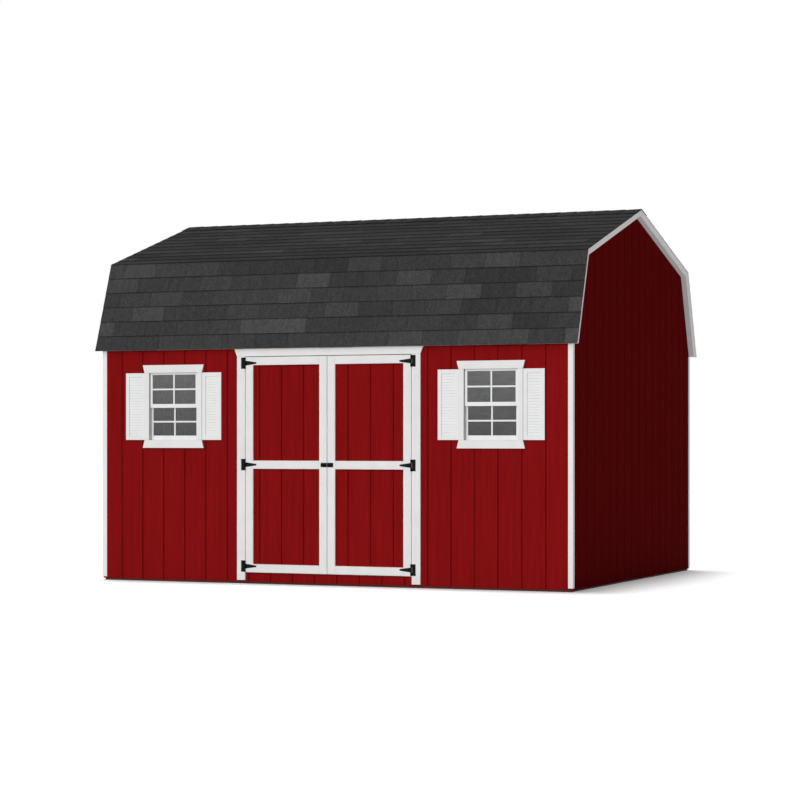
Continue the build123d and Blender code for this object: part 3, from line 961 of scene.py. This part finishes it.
def shutter_pair(side):
    """Frames of a window's shutters, the bays for their louvres, and a bay's size."""
    work, backs = bmesh.new(), bmesh.new()
    bays = []
    for low, high in sorted(part_boxes(f"{side}_window_shutters"), key=lambda shutter: shutter[0].x):
        left, right = low.x + shutter_stile, high.x - shutter_stile
        foot, head = low.z + shutter_rail, high.z - shutter_rail
        for start, end in ((low.x, left), (right, high.x)):
            bar(work, (start, low.y, low.z), (end, high.y, high.z))
        for start, end in ((low.z, foot), (head, high.z)):
            bar(work, (left, low.y, start), (right, high.y, end))
        bar(backs, (left, high.y - shutter_back, foot), (right, high.y, head))
        bays.append(((left + right) / 2, high.y, foot))
    ease(work, shutter_ease)
    frames = joined("shutter_frames", [as_mesh("frames", work), as_mesh("backs", backs)])
    return frames, bays, right - left, head - foot


def louvre_outline(pitch):
    """Section of a louvre as pairs of Y and Z, with its nose at the foot."""
    return [
        (-0.0080, pitch * 1.02), (-0.0070, pitch * 1.06), (-0.0055, pitch * 1.02), (-0.0060, pitch * 0.5),
        (-0.0092, 0.0), (-0.0108, 0.0004), (-0.0112, 0.0018), (-0.0092, pitch * 0.62),
    ]


for side in ("left", "right"):
    bars = [glazing_bars(side)]
    sashes = f"{side}_window_sashes"
    eased_node(f"{side}_window_frame", vinyl_white, sash_ease, 2, bars, sashes)
    frames, bays, bay_width, bay_height = shutter_pair(side)
    shutters = [f"{side}_window_shutters"]
    piece(f"{side}_shutter_frames", frames, "shed", [vinyl_white], shutters)
    pitch = bay_height / louvre_count
    half_slat = bay_width / 2 + louvre_tuck
    slat = pattern("louvre_slat", extruded(louvre_outline(pitch), -half_slat, half_slat))
    values = {"Slat": slat, "Count": louvre_count, "Pitch": pitch, "Finish": vinyl_white}
    louvres = grown(shutter_louvres, seeds(bays), values)
    piece(f"{side}_shutter_louvres", louvres, "shed", [vinyl_white])


# Hinges and latch
def latch_band(x, plate_face, middle):
    """Band over the bolt, with a flange above and below on the plate."""
    reach = band_radius + band_flange
    turns = [math.pi * step / 10 for step in range(11)]
    arc = [(-math.sin(turn) * band_radius, math.cos(turn) * band_radius) for turn in turns]
    ring = [(0.0, reach), (-band_metal, reach), *arc, (-band_metal, -reach), (0.0, -reach)]
    outline = [(plate_face + y, middle + z) for y, z in ring]
    band = extruded(outline, x - band_width / 2, x + band_width / 2)
    ease(band, latch_band_ease, 1, math.radians(50))
    return as_mesh("band", band)


def latch_knob(x, plate_face, middle):
    """Knob that stands out of the bolt."""
    outline = [
        (0.0028, 0.004), (0.0028, 0.0095), (0.0052, 0.0115),
        (0.0060, 0.0140), (0.0052, 0.0165), (0.0030, 0.0178),
    ]
    knob = as_mesh("knob", turned(outline, 14))
    knob.transform(Matrix.Translation((x, plate_face, middle)) @ Matrix.Rotation(math.pi / 2, 4, "X"))
    return knob


def latch_details(side):
    """Bands round the bolt of the latch, and on the left leaf a knob to slide it."""
    low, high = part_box(f"{side}_door_latch")
    middle = (low.z + high.z) / 2
    plate_face = low.y + latch_barrel
    details = [latch_band(x, plate_face, middle) for x in band_places[side]]
    if side == "left":
        details.append(latch_knob(knob_place, plate_face, middle))
    return details


for node in ("door_hinge_plates", "left_door_hinge_straps", "right_door_hinge_straps"):
    eased_node(node, hinge_black, hinge_ease)
for side in ("left", "right"):
    eased_node(f"{side}_door_latch", hinge_black, latch_ease, 1, latch_details(side))


# Screws
screw_head = pattern("screw_head", turned([
    (0.0042, -0.0005), (0.0042, 0.0005), (0.0034, 0.0015), (0.0019, 0.0019), (0.0016, 0.0009),
], 10))
nail_head = pattern("nail_head", turned([(0.0034, -0.0006), (0.0034, 0.0004), (0.0024, 0.0007)], 10))


def fixings(name, head, spots, facing, body, slot, material, seed):
    """Screws or nails of one body."""
    values = {"Head": head, "Seed": seed, "Finish": material}
    mesh = grown(fixing_heads, seeds(spots, facing), values)
    mark_grain(mesh, seed)
    piece(name, mesh, body, [material])


def screws(name, spots, body, seed):
    """Black screws of one body that face the front."""
    facing = [(0.0, -1.0, 0.0)] * len(spots)
    fixings(name, screw_head, spots, facing, body, "black_iron", hinge_black, seed)


door_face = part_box("left_door_trim")[0].y
strap_face = door_face - strap_metal
latch_face = door_face - latch_metal
spots = []
for low, high in part_boxes("door_hinge_plates"):
    middle = (low + high) / 2
    outer, inward = (low.x, 1) if middle.x < 0 else (high.x, -1)
    spots += [(outer + inward * inset, strap_face, middle.z + rise) for rise, inset in plate_screws]
screws("hinge_plate_screws", spots, "shed", 3)

for side, inward in (("left", 1), ("right", -1)):
    spots = []
    for low, high in part_boxes(f"{side}_door_hinge_straps"):
        root = low.x if inward > 0 else high.x
        middle = (low.z + high.z) / 2
        spots += [(root + inward * reach, strap_face, middle + rise) for reach, rise in strap_screws]
    low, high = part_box(f"{side}_door_latch")
    inset, rise = latch_screw_inset
    for x in (low.x + inset, high.x - inset):
        spots += [(x, latch_face, z) for z in (low.z + rise, high.z - rise)]
    screws(f"{side}_door_screws", spots, f"{side}_door", 4)


# Nails
def board_nails(members):
    """Nails along each board of these nodes: pairs in a wide board, one row in a narrow one."""
    centre = (Vector(cad_box[0]) + Vector(cad_box[1])) / 2
    spots, ways = [], []
    for points in [board for node in members for board in boards_of(node)]:
        axes = board_axes(points)
        flat = points @ axes
        middle = (flat.max(axis=0) + flat.min(axis=0)) / 2
        half = (flat.max(axis=0) - flat.min(axis=0)) / 2
        out = Vector(axes[:, 2])
        sign = 1.0 if out.dot(Vector(axes @ middle) - centre) > 0 else -1.0
        reach = half[0] - nail_margin
        row = half[1] - nail_margin / 2
        rows = (0.0,) if half[1] < one_row_width / 2 else (-row, row)
        for along in np.linspace(-reach, reach, max(2, math.ceil(2 * reach / nail_spacing) + 1)):
            for across in rows:
                spots.append(axes @ (middle + np.array([along, across, sign * half[2]])))
                ways.append(sign * out)
    return spots, ways


nailed = {
    "door_and_window_trim_nails": ("door_casings", "door_header", "left_window_trim", "right_window_trim"),
    "corner_trim_nails": ("corner_trims",),
    "rake_board_nails": ("left_rake_boards", "right_rake_boards"),
    "left_door_trim_nails": ("left_door_trim",),
    "right_door_trim_nails": ("right_door_trim",),
}
for name, members in nailed.items():
    fixings(name, nail_head, *board_nails(members), body_of[members[0]], "white_trim", trim_white, 8)


def siding_nails():
    """Nails in lines up the walls and gables, clear of windows, doors and trim."""
    low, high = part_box("back_siding")
    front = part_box("front_left_siding")[0].y
    window_low, window_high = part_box("right_window_shutters")
    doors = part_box("door_casings")[1].x + door_clearance
    aside, above = window_clearance
    spots, ways = [], []
    for line in np.linspace(low.x + nail_margin, high.x - nail_margin, wall_nail_lines):
        x = line * wall_nail_share
        for z in np.linspace(low.z + siding_nail_foot, high.z - wall_nail_top, wall_nail_rows):
            spots.append((x, high.y, z))
            ways.append((0.0, 1.0, 0.0))
            beside_window = window_low.x - aside < abs(x) < window_high.x + aside
            level_with_window = window_low.z - above < z < window_high.z + above
            if abs(x) > doors and not (beside_window and level_with_window):
                spots.append((x, front, z))
                ways.append((0.0, -1.0, 0.0))
    for side, way in (("left", -1.0), ("right", 1.0)):
        gable = f"{side}_gable_siding"
        low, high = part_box(gable)
        roof = gable_roof_line(gable)
        for y in np.linspace(-gable_nail_reach, gable_nail_reach, gable_nail_lines):
            top = float(np.interp(y, *zip(*roof))) - gable_nail_top
            for z in np.linspace(low.z + siding_nail_foot, top, gable_nail_rows):
                spots.append((high.x if way > 0 else low.x, y, z))
                ways.append((way, 0.0, 0.0))
    return spots, ways


fixings("siding_nails", nail_head, *siding_nails(), "shed", "red_siding", barn_red, 9)

for made in patterns:
    bpy.data.objects.remove(made)


# Floor and light
white = (1.0, 1.0, 1.0, 1.0)


def seen_directly(graph):
    """One for rays from the camera, off gloss or through glass, and nought for the rest."""
    rays = graph.add("ShaderNodeLightPath").outputs
    seen = graph.math("MAXIMUM", rays["Is Camera Ray"], rays["Is Glossy Ray"])
    return graph.math("MAXIMUM", seen, rays["Is Transmission Ray"])


def stage_floor(reach):
    """White floor that keeps the shadow of the building."""
    mesh = bpy.data.meshes.new("studio_floor")
    corners = [(-reach, -reach, 0), (reach, -reach, 0), (reach, reach, 0), (-reach, reach, 0)]
    mesh.from_pydata(corners, [], [(0, 1, 2, 3)])
    floor = placed("studio_floor", mesh)
    material = bpy.data.materials.new("studio_floor_white")
    material.use_nodes = True
    material.node_tree.nodes.clear()
    graph = Graph(material.node_tree)
    matt = graph.out("ShaderNodeBsdfDiffuse", {"Color": (0.36, 0.36, 0.36, 1.0)})
    bright = graph.out("ShaderNodeBsdfDiffuse", {"Color": white})
    glow = graph.out("ShaderNodeEmission", {"Color": white, "Strength": 0.2})
    pale = graph.out("ShaderNodeAddShader", {0: bright, 1: glow})
    mixed = graph.out("ShaderNodeMixShader", {0: seen_directly(graph), 1: matt, 2: pale})
    graph.add("ShaderNodeOutputMaterial", {"Surface": mixed})
    mesh.materials.append(material)


def studio_world(fill):
    """Even fill light, and a white background where it is seen."""
    world = bpy.data.worlds.new("studio")
    world.use_nodes = True
    world.node_tree.nodes.clear()
    graph = Graph(world.node_tree)
    feeds = {"Color": white, "Strength": graph.span(seen_directly(graph), fill, 1.0)}
    graph.add("ShaderNodeOutputWorld", {"Surface": graph.out("ShaderNodeBackground", feeds)})
    scene.world = world


def soft_sun(name, strength, azimuth, elevation, softness):
    """Broad light from an azimuth (0 is straight in front, left is positive) and an elevation."""
    lamp = bpy.data.lights.new(name, "SUN")
    lamp.energy = strength
    lamp.angle = math.radians(softness)
    made = placed(name, lamp)
    made.rotation_euler = (math.radians(90 - elevation), 0, -math.radians(azimuth))
    return made


def linked(name, members, state):
    """Collection of named objects that a lamp takes in or leaves out."""
    group = bpy.data.collections.new(name)
    for member in members:
        group.objects.link(bpy.data.objects[member])
    for entry in group.collection_objects:
        entry.light_linking.link_state = state
    return group


stage_floor(60.0)
studio_world(0.185)
floor = ["studio_floor"]
door_boards = ["finished_door_casings", "finished_left_door_trim", "finished_right_door_trim"]
upright_edges = ["finished_corner_trims", "corner_trim_nails", "left_window_sashes", "right_window_sashes"]
roof_boards = [
    "finished_left_rake_boards", "finished_right_rake_boards", "finished_roof_soffits",
    "rake_drip_edges", "rake_board_nails",
]

# Strength, azimuth, elevation and softness of each lamp, and what it lights alone or leaves out
lamps = {
    "front_light": (1.45, 18.0, 9.0, 14.0, floor + door_boards, "EXCLUDE"),
    "door_light": (1.45, -17.0, 9.0, 14.0, door_boards, "INCLUDE"),
    "sky_light": (1.3, 24.0, 35.0, 50.0, floor, "EXCLUDE"),
    "back_light": (1.6, 162.0, 6.0, 20.0, floor, "EXCLUDE"),
    "floor_light": (2.2, 118.0, 84.3, 14.0, floor, "INCLUDE"),
    "edge_light": (1.2, -84.0, 6.0, 20.0, upright_edges, "INCLUDE"),
    "low_light": (1.15, -60.0, -25.0, 30.0, roof_boards, "INCLUDE"),
}
for name, (strength, azimuth, elevation, softness, members, state) in lamps.items():
    sun = soft_sun(name, strength, azimuth, elevation, softness)
    sun.light_linking.receiver_collection = linked(f"{name}_reach", members, state)
# The low light comes from under the floor, which doesn't shade it
low_light = bpy.data.objects["low_light"]
low_light.light_linking.blocker_collection = linked("low_light_unshaded", floor, "EXCLUDE")

# Camera
lens = bpy.data.cameras.new("camera")
lens.lens = 104.38
lens.sensor_width = 36.0
lens.shift_y = 0.0478
camera = placed("camera", lens)
camera.location = (8.0539, -19.1387, 1.2217)
camera.rotation_euler = (math.radians(90), 0, math.radians(22.98))
scene.camera = camera
scene.view_settings.view_transform = "Standard"
